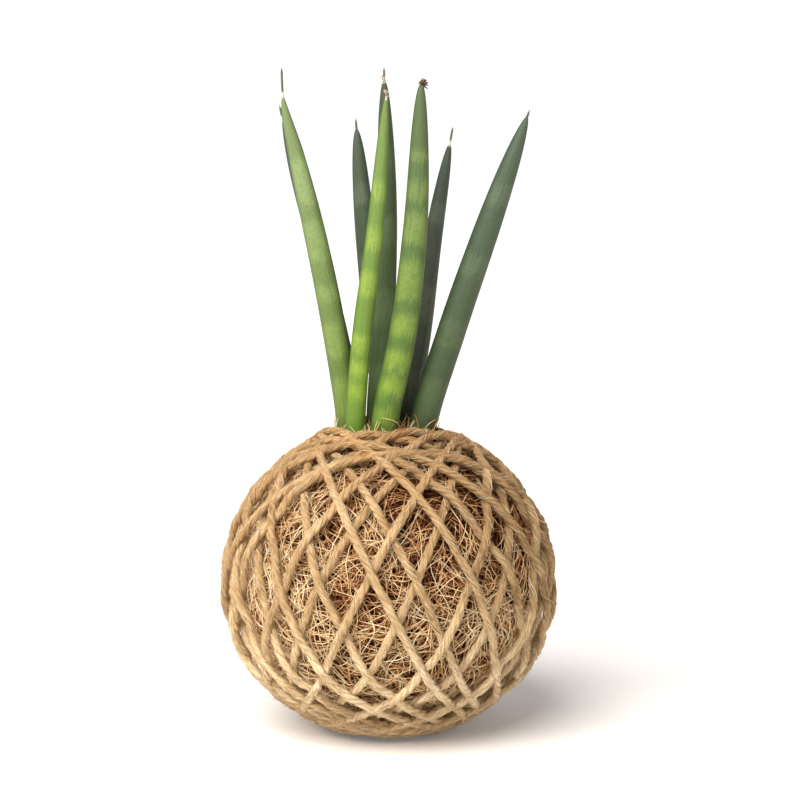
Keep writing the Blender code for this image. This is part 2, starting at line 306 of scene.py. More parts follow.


# ---------------------------------------------------------------- loose coir fibres
# Four layers of separate coconut fibres over the mat, stiff and springy, combed this way and
# that by hand. Rust brown where they lie deep and straw pale high up: partly their own colour,
# partly painted shade deep down and painted light on top.
FIBRE_STEPS = 8
FIBRE_BOW = 0.50            # sideways bow, as a share of a fibre's length
COMBING_SCALE = 52.0
FIBRE_SWAY = 0.013
FIBRE_WEAVE = 0.0009        # how far a fibre dips and rises along its length
ABOVE_FLOOR = (-1.0, -1.0, 0.0003)      # nothing hangs below this height
FIBRE_LAYERS = (
    # name, how many, lengths, thickness, lowest and highest lift, mess, seed
    ("coir_fibres_deep", 3700, (0.012, 0.036), 0.00019, (-0.0016, -0.0006), 0.5, 11),
    ("coir_fibres_middle", 3600, (0.012, 0.038), 0.00017, (-0.0012, 0.0003), 0.4, 23),
    ("coir_fibres_upper", 3500, (0.010, 0.036), 0.00017, (-0.0006, 0.0011), 0.5, 37),
    ("coir_fibres_stray", 2300, (0.008, 0.030), 0.00013, (0.0002, 0.0018), 3.0, 53),
)
BALL_AREA = 0.0355          # outer area of the mat, for the fibres per square metre
FIBRE_COLOURS = (
    (0.04, (0.060, 0.015, 0.005)), (0.20, (0.260, 0.085, 0.030)), (0.36, (0.640, 0.320, 0.125)),
    (0.54, (0.920, 0.620, 0.310)), (0.84, (0.990, 0.840, 0.550)),
)


def start_tree(name, **sizes):
    # A geometry tree with a named input for each size, and its geometry in and out.
    tree = bpy.data.node_groups.new(name, 'GeometryNodeTree')
    face = tree.interface
    face.new_socket("Geometry", in_out='INPUT', socket_type='NodeSocketGeometry')
    for title, value in sizes.items():
        kind = {int: "Int", float: "Float"}.get(type(value), "Material")
        socket = face.new_socket(title.replace("_", " ").capitalize(), in_out='INPUT',
                                 socket_type=f"NodeSocket{kind}")
        if kind != "Material":
            socket.default_value = value
    face.new_socket("Geometry", in_out='OUTPUT', socket_type='NodeSocketGeometry')
    given = tree.nodes.new("NodeGroupInput")
    return tree, given


def end_tree(tree, given, geometry):
    # Realizes what is left, gives it the material and shades it smooth.
    real = add_node(tree, "GeometryNodeRealizeInstances", {"Geometry": geometry})
    smooth = add_node(tree, "GeometryNodeSetShadeSmooth", {"Geometry": real})
    coated = add_node(tree, "GeometryNodeSetMaterial",
                      {"Geometry": smooth, "Material": given.outputs["Material"]})
    out = tree.nodes.new("NodeGroupOutput")
    tree.links.new(coated.outputs[0], out.inputs[0])


def grow(name, tree, start, material, **sizes):
    # Runs a tree once on the starting mesh or curve and keeps the result as a plain mesh.
    host = bpy.data.objects.new(name, start)
    bpy.context.scene.collection.objects.link(host)
    growth = host.modifiers.new("growth", 'NODES')
    growth.node_group = tree
    sizes["material"] = material
    for item in tree.interface.items_tree:
        key = item.name.lower().replace(" ", "_")
        if item.in_out == 'INPUT' and key in sizes:
            growth[item.identifier] = sizes[key]
    grown = host.evaluated_get(bpy.context.evaluated_depsgraph_get())
    mesh = bpy.data.meshes.new_from_object(grown)
    bpy.data.objects.remove(host, do_unlink=True)
    mesh.name = name
    piece = bpy.data.objects.new(name, mesh)
    bpy.context.scene.collection.objects.link(piece)
    return piece


def random_number(tree, low, high, seed, offset=0):
    seed = calc(tree, 'ADD', seed, float(offset))
    feeds = {2: low, 3: high, "Seed": seed}
    return add_node(tree, "FunctionNodeRandomValue", feeds, data_type='FLOAT')


def named(tree, name, kind='FLOAT'):
    return add_node(tree, "GeometryNodeInputNamedAttribute", {"Name": name}, data_type=kind)


def store(tree, geometry, name, value, domain='POINT', kind='FLOAT'):
    return add_node(tree, "GeometryNodeStoreNamedAttribute",
                    {"Geometry": geometry, "Name": name, "Value": value},
                    domain=domain, data_type=kind)


def on_ball(tree, position, lift):
    # The point of the ball nearest to a position, raised by a lift, and the way outwards.
    from_centre = calc_vector(tree, 'SUBTRACT', position, (0.0, 0.0, CENTRE_HEIGHT))
    girth = (COIR_RADIUS, COIR_RADIUS, COIR_HALF_HEIGHT)
    outward = calc_vector(tree, 'NORMALIZE', calc_vector(tree, 'DIVIDE', from_centre, girth))
    upward = part_of(tree, outward, "Z")
    gathered = span(tree, upward, *GATHER_FROM, 0.0, TOP_GATHER, interpolation_type='SMOOTHSTEP')
    pressed = span(tree, times(tree, upward, -1.0), *PRESS_FROM, 0.0, BOTTOM_PRESS,
                   interpolation_type='SMOOTHSTEP')
    raised = calc_vector(tree, 'ADD', girth, vector_of(tree, lift, lift, lift))
    rise = vector_of(tree, z=plus(tree, gathered, pressed, CENTRE_HEIGHT))
    spot = calc_vector(tree, 'ADD', calc_vector(tree, 'MULTIPLY', outward, raised), rise)
    return spot, outward


def hair_tube(tree, lines, share, thickness):
    # Three-sided tubes along the lines, thinner towards both ends.
    from_middle = calc(tree, 'ABSOLUTE', span(tree, share, 0.0, 1.0, -1.0, 1.0))
    tapered = calc(tree, 'SUBTRACT', 1.0, times(tree, calc(tree, 'POWER', from_middle, 3.0), 0.7))
    section = add_node(tree, "GeometryNodeCurvePrimitiveCircle", {"Resolution": 3, "Radius": 1.0})
    return add_node(tree, "GeometryNodeCurveToMesh",
                    {"Curve": lines, "Profile Curve": section.outputs["Curve"],
                     "Scale": times(tree, tapered, *thickness), "Fill Caps": True})


def fibre_tree():
    tree, given = start_tree("coir_fibres", fibres_per_area=1.0, shortest=0.01, longest=0.03,
                             thickness=0.0002, lowest=0.0, highest=0.0, mess=1.0, seed=1,
                             material=None)
    size = given.outputs
    seed = size["Seed"]
    position = add_node(tree, "GeometryNodeInputPosition")
    # Fibres spring from the outer side of the mat only.
    from_centre = calc_vector(tree, 'SUBTRACT', position, (0.0, 0.0, CENTRE_HEIGHT))
    scaled = calc_vector(tree, 'DIVIDE', from_centre, (COIR_RADIUS, COIR_RADIUS, COIR_HALF_HEIGHT))
    outside = calc(tree, 'GREATER_THAN', calc_vector(tree, 'LENGTH', scaled).outputs["Value"], 0.9)
    spots = add_node(tree, "GeometryNodeDistributePointsOnFaces",
                     {"Mesh": size["Geometry"], "Selection": outside,
                      "Density": size["Fibres per area"], "Seed": seed})
    # Each fibre starts as one shallow bow, laid along the local combing direction.
    bow = add_node(tree, "GeometryNodeCurveQuadraticBezier",
                   {"Resolution": FIBRE_STEPS, "Start": (-0.5, 0.0, 0.0),
                    "Middle": (0.0, FIBRE_BOW, 0.0), "End": (0.5, 0.0, 0.0)})
    combing = cloud(tree, position, COMBING_SCALE, 1.0)
    heading = times(tree, combing, 4.0 * math.pi)
    stray = times(tree, random_number(tree, -1.0, 1.0, seed, 1), size["Mess"])
    turn = add_node(tree, "FunctionNodeAxisAngleToRotation",
                    {"Axis": (0.0, 0.0, 1.0), "Angle": plus(tree, heading, stray)})
    lie = add_node(tree, "FunctionNodeRotateRotation",
                   {"Rotation": spots.outputs["Rotation"], "Rotate By": turn},
                   rotation_space='LOCAL')
    length = random_number(tree, size["Shortest"], size["Longest"], seed)
    bow_way = random_number(tree, -1.0, 1.0, seed, 2)
    laid = add_node(tree, "GeometryNodeInstanceOnPoints",
                    {"Points": spots.outputs["Points"], "Instance": bow, "Rotation": lie,
                     "Scale": vector_of(tree, length, times(tree, length, bow_way), length)})
    laid = store(tree, laid, "shade", random_number(tree, 0.0, 1.0, seed, 3), 'INSTANCE')
    laid = store(tree, laid, "own", random_number(tree, 0.0, 90.0, seed, 4), 'INSTANCE')
    loose = add_node(tree, "GeometryNodeRealizeInstances", {"Geometry": laid})
    # The fibre wanders, then it is laid back on the ball, weaving a little up and down.
    own = named(tree, "own")
    own_shift = vector_of(tree, own, times(tree, own, 1.7), times(tree, own, 2.9))
    own_space = calc_vector(tree, 'ADD', position, own_shift)
    sway = cloud(tree, own_space, 55.0, 0.0).outputs["Color"]
    sway = scale_vector(tree, calc_vector(tree, 'SUBTRACT', sway, (0.5, 0.5, 0.5)), FIBRE_SWAY)
    along = add_node(tree, "GeometryNodeSplineParameter").outputs["Factor"]
    from_middle = calc(tree, 'ABSOLUTE', span(tree, along, 0.0, 1.0, -1.0, 1.0))
    level = span(tree, calc(tree, 'FRACT', own), 0.0, 1.0, size["Lowest"], size["Highest"])
    weave = cloud(tree, own_space, 190.0, 0.0)
    ripple = span(tree, weave, 0.2, 0.8, -FIBRE_WEAVE, FIBRE_WEAVE)
    tuck = times(tree, calc(tree, 'POWER', from_middle, 6.0), -FIBRE_WEAVE)
    lift = plus(tree, level, ripple, tuck)
    spot = on_ball(tree, calc_vector(tree, 'ADD', position, sway), lift)[0]
    spot = calc_vector(tree, 'MAXIMUM', spot, ABOVE_FLOOR)
    laid = add_node(tree, "GeometryNodeSetPosition", {"Geometry": loose, "Position": spot})
    # The lift is kept for the colour, which paints shade on deep fibres and light on high ones.
    laid = store(tree, laid, "raise", lift)
    own_girth = span(tree, named(tree, "shade"), 0.0, 1.0, 0.75, 1.25)
    end_tree(tree, given, hair_tube(tree, laid, along, (size["Thickness"], own_girth)))
    return tree


def attribute(tree, name, kind='Fac'):
    return add_node(tree, "ShaderNodeAttribute", attribute_name=name).outputs[kind]


fibre_surface, tree, shader = start_material("coir_fibre", 0.6, 0.18)
place = object_place(tree)
# How far each fibre is lifted paints shade on the deeper fibres and light on the higher ones.
raised = span(tree, attribute(tree, "raise"), -0.0022, 0.0014, -0.52, 0.40)
mottle = cloud(tree, place, 330.0, 3.0, 0.6)
patches = cloud(tree, place, 42.0, 2.0)
tone = plus(tree, times(tree, attribute(tree, "shade"), 0.50), raised,
            spread(tree, mottle, -0.10, 0.16), spread(tree, patches, -0.05, 0.17))
# Painted shade: darker towards the upper right, on the side turned from the light.
painted_shade = times(tree, span(tree, part_of(tree, place, "X"), -0.020, 0.030),
             span(tree, part_of(tree, place, "Z"), 0.045, 0.085), 0.32)
tone = calc(tree, 'SUBTRACT', tone, painted_shade)
fibre_colour = colours(tree, tone, *FIBRE_COLOURS)
finish_material(tree, shader, fibre_colour, cloud(tree, place, 2600.0, 2.0), 0.00008, 0.5,
                rough=spread(tree, mottle, 0.45, 0.7))

coir_growth = fibre_tree()
for name, count, lengths, thickness, lifts, mess, seed in FIBRE_LAYERS:
    fibres = grow(name, coir_growth, coir_mat.data.copy(), fibre_surface,
                  fibres_per_area=count / BALL_AREA, shortest=lengths[0], longest=lengths[1],
                  thickness=thickness, lowest=lifts[0], highest=lifts[1], mess=mess, seed=seed)
    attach(fibres, "root")


# ---------------------------------------------------------------- leaves
# Eight round, solid spear leaves, each on its own foot in the rootstock. Waxy skin with fine
# lengthways grooves and ragged light and dark bands, ending in a dry brown spine.
LEAF_RINGS = 72
LEAF_SIDES = 40
SPINE_RADIUS = 0.0004
NECK_SHARE = 0.13
RIDGE_COUNT = 7
RIDGE_DEPTH = 0.016
SPINE_DRY = (0.155, 0.140, 0.090)
SPINE_RING = (0.70, 0.64, 0.52)
RINGED_LEAVES = ("leaf_back_left", "leaf_left", "leaf_front_left", "leaf_middle", "leaf_back_right")

# Half thickness, fullness and sharpness of the upper end, length of the dry spine, and points
# up the middle.
LEAVES = {
    "leaf_back_left": (0.0034, 4.0, 0.6, 0.0050, (
        (-0.0100, 0.0080, 0.0850), (-0.0118, 0.0088, 0.1070), (-0.0180, 0.0100, 0.1400),
        (-0.0250, 0.0110, 0.1680), (-0.0345, 0.0120, 0.2024), (-0.0386, 0.0125, 0.2200))),
    "leaf_left": (0.0043, 4.2, 0.65, 0.0093, (
        (-0.0130, 0.0004, 0.0850), (-0.0141, -0.0002, 0.1070), (-0.0190, -0.0030, 0.1415),
        (-0.0277, -0.0066, 0.1850), (-0.0317, -0.0074, 0.2022), (-0.0362, -0.0082, 0.2222),
        (-0.0366, -0.0085, 0.2320))),
    "leaf_back_middle": (0.0040, 5.0, 0.5, 0.0038, (
        (-0.0010, 0.0112, 0.0850), (-0.0016, 0.0120, 0.1070), (-0.0050, 0.0135, 0.1400),
        (-0.0084, 0.0147, 0.1750), (-0.0118, 0.0160, 0.2155))),
    "leaf_front_left": (0.0035, 3.2, 0.5, 0.0015, (
        (-0.0114, -0.0078, 0.0850), (-0.0116, -0.0088, 0.1070), (-0.0095, -0.0092, 0.1380),
        (-0.0048, -0.0097, 0.1750), (-0.0006, -0.0100, 0.2235))),
    "leaf_middle": (0.0040, 4.5, 0.5, 0.0045, (
        (-0.0042, 0.0022, 0.0850), (-0.0042, 0.0028, 0.1070), (-0.0021, 0.0043, 0.1400),
        (-0.0008, 0.0062, 0.1750), (-0.0017, 0.0085, 0.2330))),
    "leaf_front_right": (0.0049, 3.0, 0.45, 0.0006, (
        (-0.0028, -0.0072, 0.0850), (-0.0017, -0.0082, 0.1070), (0.0048, -0.0085, 0.1400),
        (0.0090, -0.0090, 0.1750), (0.0112, -0.0100, 0.2270))),
    "leaf_back_right": (0.0038, 3.6, 0.5, 0.0060, (
        (0.0050, 0.0076, 0.0850), (0.0064, 0.0084, 0.1070), (0.0114, 0.0100, 0.1400),
        (0.0160, 0.0120, 0.1750), (0.0226, 0.0140, 0.2125))),
    "leaf_right": (0.0051, 4.6, 0.6, 0.0024, (
        (0.0088, -0.0014, 0.0850), (0.0117, -0.0012, 0.1070), (0.0216, -0.0008, 0.1400),
        (0.0336, -0.0004, 0.1750), (0.0489, 0.0000, 0.2180))),
}

# Each leaf's slot, its light colour low down and at the tip, its dark colour low down and at
# the tip, and where the light bands lie, in metres up from the leaf's foot.
# The five leaves behind the others (back left, back middle, middle, back right and right) are
# darker partly in their own colour and partly as painted shade.
LEAF_FINISHES = {
    "leaf_back_left": ("leaf_grey_green", (0.112, 0.156, 0.088), (0.140, 0.176, 0.128),
        (0.064, 0.092, 0.054), (0.088, 0.116, 0.080),
        ((0.030, 0.042), (0.060, 0.068), (0.090, 0.104))),
    "leaf_left": ("leaf_pale_green", (0.204, 0.300, 0.056), (0.308, 0.400, 0.188),
        (0.128, 0.196, 0.037), (0.232, 0.300, 0.132),
        ((0.026, 0.040), (0.048, 0.060), (0.0675, 0.0735), (0.082, 0.096), (0.102, 0.118))),
    "leaf_back_middle": ("leaf_shade_green", (0.108, 0.152, 0.072), (0.132, 0.160, 0.104),
        (0.064, 0.092, 0.044), (0.084, 0.108, 0.066),
        ((0.035, 0.048), (0.070, 0.082), (0.100, 0.108))),
    "leaf_front_left": ("leaf_lime_green", (0.256, 0.384, 0.040), (0.296, 0.408, 0.104),
        (0.144, 0.248, 0.032), (0.188, 0.280, 0.080),
        ((0.0327, 0.0380), (0.0404, 0.0460), (0.0495, 0.0554), (0.0694, 0.0774),
         (0.0850, 0.0926), (0.1022, 0.1091))),
    "leaf_middle": ("leaf_deep_green", (0.166, 0.250, 0.094), (0.096, 0.120, 0.072),
        (0.114, 0.177, 0.066), (0.068, 0.088, 0.051),
        ((0.034, 0.044), (0.058, 0.070), (0.086, 0.096), (0.112, 0.120))),
    "leaf_front_right": ("leaf_banded_green", (0.232, 0.340, 0.040), (0.172, 0.240, 0.092),
        (0.100, 0.180, 0.032), (0.108, 0.152, 0.068),
        ((0.0239, 0.0292), (0.0346, 0.0410), (0.0435, 0.0506), (0.0559, 0.0630),
         (0.0682, 0.0814), (0.0873, 0.0986), (0.1028, 0.1096), (0.1164, 0.1198))),
    "leaf_back_right": ("leaf_dark_green", (0.132, 0.150, 0.096), (0.100, 0.120, 0.092),
        (0.090, 0.105, 0.068), (0.068, 0.083, 0.064),
        ((0.030, 0.042), (0.060, 0.072), (0.094, 0.102))),
    "leaf_right": ("leaf_blue_green", (0.080, 0.120, 0.044), (0.120, 0.156, 0.104),
        (0.058, 0.088, 0.035), (0.084, 0.116, 0.076),
        ((0.026, 0.040), (0.052, 0.062), (0.078, 0.086), (0.104, 0.112))),
}


def smooth_path(points, count):
    # Evenly spaced points on a smooth curve through the given ones.
    anchors = np.array(points)
    chord = np.linalg.norm(np.diff(anchors, axis=0), axis=1)
    knots = np.concatenate([[0.0], np.cumsum(chord)])
    slopes = np.gradient(anchors, knots, axis=0)
    places = []
    for along in np.linspace(0.0, knots[-1], count):
        part = min(int(np.searchsorted(knots, along, side='right')) - 1, len(chord) - 1)
        reach = chord[part]
        share = (along - knots[part]) / reach
        rest = 1.0 - share
        spot = anchors[part] * rest * rest * (1.0 + 2.0 * share)
        spot = spot + anchors[part + 1] * share * share * (3.0 - 2.0 * share)
        spot = spot + slopes[part] * reach * share * rest * rest
        spot = spot - slopes[part + 1] * reach * share * share * rest
        places.append(spot)
    return np.array(places)


def spear_leaf(name, thickness, fullness, sharpness, spine, points, material):
    # Rings up the path, with shallow ridges lengthways, closed at both ends.
    fine = smooth_path(points, 400)
    run = np.concatenate([[0.0], np.cumsum(np.linalg.norm(np.diff(fine, axis=0), axis=1))])
    stations = run[-1] * (1.0 - (1.0 - np.linspace(0.0, 1.0, LEAF_RINGS)) ** 1.6)
    path = np.stack([np.interp(stations, run, fine[:, axis]) for axis in range(3)], axis=1)
    share = np.clip(stations / (run[-1] - spine), 0.0, 1.0)
    body = (1.0 - share ** fullness) ** sharpness
    neck_in = 1.0 - NECK_SHARE * np.clip(1.0 - share / 0.3, 0.0, 1.0) ** 2
    to_end = np.clip((run[-1] - stations) / 0.0015, 0.15, 1.0)
    radii = np.maximum(thickness * body * neck_in, SPINE_RADIUS * to_end)
    ahead = np.gradient(path, axis=0)
    ahead /= np.linalg.norm(ahead, axis=1)[:, None]
    across = np.cross(ahead, (0.0, -1.0, 0.0))
    across /= np.linalg.norm(across, axis=1)[:, None]
    facing = np.cross(across, ahead)
    turns = np.linspace(0.0, 2.0 * math.pi, LEAF_SIDES, endpoint=False)
    ridges = 1.0 - RIDGE_DEPTH * (0.5 + 0.5 * np.cos(RIDGE_COUNT * turns + 1.3)) ** 2
    corners, rounds, runs = [], [], []
    for ring in range(LEAF_RINGS):
        for turn, ridge in zip(turns, ridges):
            way = across[ring] * math.cos(turn) + facing[ring] * math.sin(turn)
            corners.append(path[ring] + way * radii[ring] * ridge)
            rounds.append((math.cos(turn), math.sin(turn), 0.0))
            runs.append(stations[ring])
    faces = []
    for low in range(0, (LEAF_RINGS - 1) * LEAF_SIDES, LEAF_SIDES):
        high = low + LEAF_SIDES
        for side in range(LEAF_SIDES):
            after = (side + 1) % LEAF_SIDES
            faces.append((low + side, low + after, high + after, high + side))
    faces += [tuple(range(LEAF_SIDES))[::-1], tuple(range(high, high + LEAF_SIDES))]
    piece = mesh_piece(name, corners, faces, material)
    around = piece.data.attributes.new("around", 'FLOAT_VECTOR', 'POINT')
    around.data.foreach_set("vector", np.array(rounds).ravel())
    along = piece.data.attributes.new("along", 'FLOAT', 'POINT')
    along.data.foreach_set("value", runs)
    return piece, run[-1]


def leaf_surface(slot, length, spine, colours_up, bands, ringed, own):
    # Waxy leaf skin. The light bands have comb-like edges, because the colour runs in streaks.
    material, tree, shader = start_material(slot, 0.42, 0.22)
    light_low, light_tip, dark_low, dark_tip = colours_up
    along = attribute(tree, "along")
    around = attribute(tree, "around", 'Vector')
    ring = scale_vector(tree, around, 0.004)
    own_shift = (own * 0.37, own * 0.53, own * 0.71)
    skin = calc_vector(tree, 'ADD', ring, vector_of(tree, z=along))
    skin = calc_vector(tree, 'ADD', skin, own_shift)
    streaky = calc_vector(tree, 'MULTIPLY', skin, (1.0, 1.0, 0.06))
    combs = cloud(tree, streaky, 2600.0, 3.0, 0.7)
    broad = cloud(tree, streaky, 420.0, 2.0)
    ragged = plus(tree, span(tree, combs, 0.25, 0.75, -0.0024, 0.0024),
                  span(tree, broad, 0.25, 0.75, -0.0011, 0.0011))
    edge = 0.0013 / length
    stops = []
    for low, high in bands:
        low, high = low / length, high / length
        stops += [(low - edge, (0.0,) * 3), (low + edge, (1.0,) * 3),
                  (high - edge, (1.0,) * 3), (high + edge, (0.0,) * 3)]
    banded = colours(tree, calc(tree, 'DIVIDE', plus(tree, along, ragged), length), *stops)
    up = span(tree, calc(tree, 'DIVIDE', along, length), 0.2, 0.95)
    light = mix_colour(tree, up, light_low, light_tip)
    dark = mix_colour(tree, up, dark_low, dark_tip)
    mottle = cloud(tree, skin, 260.0, 3.0, 0.6)
    weight = times(tree, banded, span(tree, mottle, 0.3, 0.6, 0.55, 1.0))
    coats = [(weight, light)]
    # Fine dark lines lengthways, and soft lighter flecks between them.
    lines = cloud(tree, calc_vector(tree, 'MULTIPLY', skin, (1.0, 1.0, 0.02)), 2100.0, 1.0)
    flecks = cloud(tree, streaky, 2600.0, 2.0, 0.7)
    coats += [(span(tree, lines, 0.58, 0.70, 0.0, 0.70), dark),
              (span(tree, flecks, 0.55, 0.8, 0.0, 0.35), light)]
    # A fine dark grain, darker down both sides, and a shaded foot.
    grain = cloud(tree, skin, 1700.0, 4.0, 0.75)
    sideways = calc(tree, 'ABSOLUTE', part_of(tree, around, "X"))
    coats += [(span(tree, grain, 0.50, 0.72, 0.0, 0.60), tuple(0.50 * part for part in dark_low)),
              (span(tree, sideways, 0.70, 1.0, 0.0, 0.60), tuple(0.62 * part for part in dark_low)),
              (span(tree, along, 0.018, 0.040, 0.55, 0.0), dark_low)]
    # The dry spine, and a pale ring under it on some leaves.
    dry_from = length - spine
    ring_mask = times(tree, span(tree, along, dry_from - 0.0016, dry_from - 0.0006),
                      span(tree, along, dry_from + 0.0006, dry_from + 0.0012, float(ringed), 0.0))
    coats += [(span(tree, along, dry_from, dry_from + 0.0010), SPINE_DRY), (ring_mask, SPINE_RING)]
    skin_colour = dark
    for mask, colour in coats:
        skin_colour = mix_colour(tree, mask, skin_colour, colour)
    grooves = plus(tree, lines, times(tree, flecks, 0.4))
    finish_material(tree, shader, skin_colour, grooves, 0.00025, 0.6,
                    spread(tree, mottle, 0.36, 0.52))
    return material


for number, (name, (thickness, fullness, sharpness, spine, points)) in enumerate(LEAVES.items()):
    slot, *colours_up, bands = LEAF_FINISHES[name]
    leaf, length = spear_leaf(f"{name}_skin", thickness, fullness, sharpness, spine, points, None)
    coat(leaf, leaf_surface(slot, length, spine, colours_up, bands, name in RINGED_LEAVES,
                            number + 1))
    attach(leaf, "root")
    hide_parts(name)


# ---------------------------------------------------------------- crown
# The ruff of loose coir tucked into the opening round the leaf bases, hiding the soil, with
# wisps standing up between the leaves. Pushed in by hand after the ball was wound.
CROWN_RADIUS = 0.0192
CROWN_HEIGHTS = (0.0978, 0.1062)
CROWN_FIBRES = 1500
CROWN_WISPS = 150
WISP_FOOT = 0.1035
WISP_HEIGHTS = (0.0020, 0.0085)
WISP_RISE = 1.1             # how far up a wisp goes, as a share of its height
HAIR_POINTS = 9
HAIR_THICKNESS = 0.00017
LEAF_MARGIN = 0.0005        # how far the hairs keep off the leaves


def clear_of_leaves(spots):
    # Moves any spot that lies in a leaf sideways to the leaf's skin.
    spots = spots.copy()
    for thickness, fullness, sharpness, spine, points in LEAVES.values():
        middle = smooth_path(points, 60)
        stem = np.stack([np.interp(spots[..., 2], middle[:, 2], middle[:, way]) for way in (0, 1)],
                        axis=-1)
        away = spots[..., :2] - stem
        apart = np.maximum(np.linalg.norm(away, axis=-1), 1e-6)
        push = np.maximum((thickness + LEAF_MARGIN) / apart, 1.0)
        spots[..., :2] = stem + away * push[..., None]
    return spots


def hair_piece(name, routes, thickness, shades, lifts, material):
    # Three-sided hairs, tapered to both ends. Routes are (hair, point, coordinate).
    count, points = routes.shape[:2]
    ahead = np.gradient(routes, axis=1)
    ahead /= np.maximum(np.linalg.norm(ahead, axis=2), 1e-9)[..., None]
    side = np.cross(ahead, (0.31, 0.17, 0.94))
    side /= np.maximum(np.linalg.norm(side, axis=2), 1e-9)[..., None]
    other = np.cross(ahead, side)
    from_middle = np.abs(np.linspace(-1.0, 1.0, points))
    girth = (thickness * (1.0 - 0.7 * from_middle ** 3))[None, :, None]
    rings = [routes + girth * (side * math.cos(turn) + other * math.sin(turn))
             for turn in (0.0, math.tau / 3.0, math.tau * 2.0 / 3.0)]
    corners = np.stack(rings, axis=2).reshape(-1, 3)
    faces = []
    for hair in range(count):
        for point in range(points - 1):
            low = (hair * points + point) * 3
            for corner in range(3):
                after = (corner + 1) % 3
                faces.append((low + corner, low + after, low + 3 + after, low + 3 + corner))
        first, last = hair * points * 3, (hair * points + points - 1) * 3
        faces += [(first + 2, first + 1, first), (last, last + 1, last + 2)]
    piece = mesh_piece(name, corners, faces, material)
    for title, values in (("shade", shades), ("raise", lifts)):
        kept = piece.data.attributes.new(title, 'FLOAT', 'POINT')
        kept.data.foreach_set("value", np.repeat(values, points * 3).astype(np.float32))
    return piece


def crown_hairs():
    chance = np.random.default_rng(71)
    share = np.linspace(-1.0, 1.0, HAIR_POINTS)[None, :]
    # Matted hairs lying round the leaf bases.
    count = CROWN_FIBRES
    turn, out = chance.uniform(0.0, math.tau, count), CROWN_RADIUS * np.sqrt(chance.random(count))
    level = chance.uniform(0.0, 1.0, count) ** 0.8
    height = CROWN_HEIGHTS[0] + (CROWN_HEIGHTS[1] - CROWN_HEIGHTS[0]) * level
    heading, half = chance.uniform(0.0, math.tau, count), chance.uniform(0.003, 0.009, count)
    bend, climb = chance.uniform(-0.4, 0.4, count), chance.uniform(-0.10, 0.16, count)
    reach = half[:, None] * share
    sweep = bend[:, None] * half[:, None] * (share ** 2 - 0.5)
    east, north = np.cos(heading)[:, None], np.sin(heading)[:, None]
    matted = np.stack([(out * np.cos(turn))[:, None] + reach * east - sweep * north,
                       (out * np.sin(turn))[:, None] + reach * north + sweep * east,
                       height[:, None] + reach * climb[:, None]], axis=2)
    # Wisps standing up between the leaves and out of the collar.
    count = CROWN_WISPS
    turn = chance.uniform(0.0, math.tau, count)
    out = CROWN_RADIUS * chance.uniform(0.35, 1.0, count)
    tall = chance.uniform(*WISP_HEIGHTS, count)
    lean, bow = chance.uniform(-0.9, 0.9, (2, count, 2))
    rise = (0.5 + 0.5 * share) * np.ones((count, 1))
    drift = lean[:, None, :] * rise[..., None] + bow[:, None, :] * (rise * (1.0 - rise))[..., None]
    wisps = np.stack([(out * np.cos(turn))[:, None] + tall[:, None] * drift[..., 0],
                      (out * np.sin(turn))[:, None] + tall[:, None] * drift[..., 1],
                      WISP_FOOT + tall[:, None] * rise * WISP_RISE], axis=2)
    routes = np.concatenate([matted, wisps])
    far = np.linalg.norm(routes[..., :2], axis=2)
    routes[..., :2] *= np.minimum(CROWN_RADIUS / np.maximum(far, 1e-6), 1.0)[..., None]
    routes = clear_of_leaves(clear_of_leaves(routes))
    shades = np.concatenate([chance.random(CROWN_FIBRES), chance.uniform(0.3, 1.0, CROWN_WISPS)])
    # How deep each hair lies; the fibre colour paints shade on the deeper ones.
    lifts = np.concatenate([-0.0022 + 0.0026 * level, chance.uniform(-0.0005, 0.0012, CROWN_WISPS)])
    return routes, shades, lifts


crown_routes, crown_shades, crown_lifts = crown_hairs()
crown = hair_piece("crown_fibres", crown_routes, HAIR_THICKNESS, crown_shades, crown_lifts,
                   fibre_surface)
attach(crown, "root")


# ---------------------------------------------------------------- torn leaf ends
# Dry, papery shreds where three of the leaves have lost their spines: brown on the banded leaf,
# pale on the two in the middle.
SHREDS = (
    # where, shreds, lengths, way they lean, shade
    ((0.0114, -0.0100, 0.2262), 40, (0.0006, 0.0018), (0.60, -0.10, 0.35), (0.0, 0.30)),
    ((-0.0006, -0.0100, 0.2225), 14, (0.0005, 0.0014), (0.15, -0.20, 0.55), (0.4, 1.0)),
    ((-0.0019, 0.0085, 0.2285), 8, (0.0005, 0.0014), (-0.10, -0.20, 0.60), (0.6, 1.0)),
)
SHRED_THICKNESS = 0.00028
SHRED_SPREAD = 0.0009       # how far the shreds' feet lie from the middle of the torn end
SHRED_STRAY = 0.6


def sprung_hairs(chance, count, place, spread_out, lean, stray, curl, lengths):
    # Hairs that spring from one small spot, each leaning and curling its own way.
    way = np.array(lean) + chance.uniform(-stray, stray, (count, 3))
    bend = chance.uniform(-curl, curl, (count, 3))
    reach = chance.uniform(*lengths, count)[:, None, None]
    start = np.array(place) + chance.uniform(-spread_out, spread_out, (count, 3))
    rise = np.linspace(0.0, 1.0, HAIR_POINTS)[None, :, None]
    return start[:, None] + reach * (way[:, None] * rise + bend[:, None] * rise ** 2)


